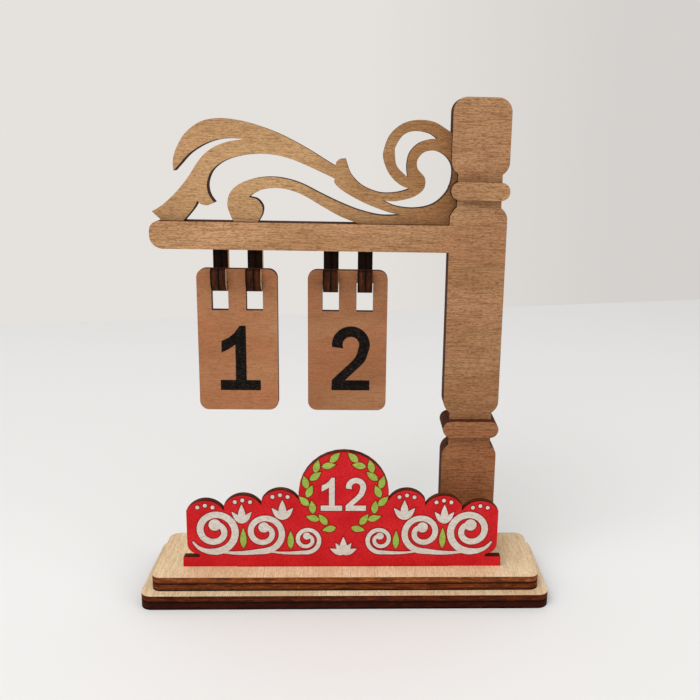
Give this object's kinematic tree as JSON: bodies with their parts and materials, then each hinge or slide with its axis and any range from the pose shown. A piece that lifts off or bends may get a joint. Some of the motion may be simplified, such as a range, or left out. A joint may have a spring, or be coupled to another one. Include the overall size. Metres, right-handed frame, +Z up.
{
  "type": "perpetual desk calendar",
  "caption": "Sheet-wood desk calendar: a stepped plinth carries a post with a scroll-braced arm, hook-hung date tiles and a slot-in month sign.",
  "frame": {"origin": "middle of the plinth's underside, where the calendar rests on a desk", "axes": "+Z up along the post, -Y towards the reader, +X towards the post"},
  "size_m": [0.167, 0.0452, 0.2045],
  "materials": {
    "plinth_wood": "pale plywood, sanded, with laser-browned edges",
    "post_wood": "stained plywood, satin, with laser-browned edges",
    "hook_wood": "laser-browned plywood edges",
    "tile_wood": "stained plywood, satin, with printed black numerals",
    "red_board": "printed red face, satin, with laser-browned edges"
  },
  "bodies": {
    "stand": {"plinth_bottom_ply": "plinth_wood", "plinth_top_ply": "plinth_wood", "step_bottom_ply": "plinth_wood", "step_top_ply": "plinth_wood", "frame_front_ply": "post_wood", "frame_core_ply": "post_wood", "frame_back_ply": "post_wood", "lower_collar_front": "post_wood", "lower_collar_back": "post_wood", "upper_collar_front": "post_wood", "upper_collar_back": "post_wood", "tens_left_hook_ply_1": "hook_wood", "tens_left_hook_ply_2": "hook_wood", "tens_right_hook_ply_1": "hook_wood", "tens_right_hook_ply_2": "hook_wood", "ones_left_hook_ply_1": "hook_wood", "ones_left_hook_ply_2": "hook_wood", "ones_right_hook_ply_1": "hook_wood", "ones_right_hook_ply_2": "hook_wood"},
    "tens_tile": {"tens_tile": "tile_wood"},
    "ones_tile": {"ones_tile": "tile_wood"},
    "month_sign": {"month_sign": "red_board"}
  },
  "joints": [
    {"name": "tens_tile_swing", "type": "hinge", "parent": "stand", "child": "tens_tile", "pos_m": [-0.04535, 0.00275, 0.13195], "axis": [1, 0, 0], "range_deg": [-8.7, 10.7]},
    {"name": "ones_tile_swing", "type": "hinge", "parent": "stand", "child": "ones_tile", "pos_m": [-0.00095, 0.00275, 0.13195], "axis": [1, 0, 0], "range_deg": [-8.7, 10.7]},
    {"name": "month_sign_lift", "type": "slide", "parent": "stand", "child": "month_sign", "axis": [0, 0, 1], "range_m": [0, 0.0057]}
  ]
}
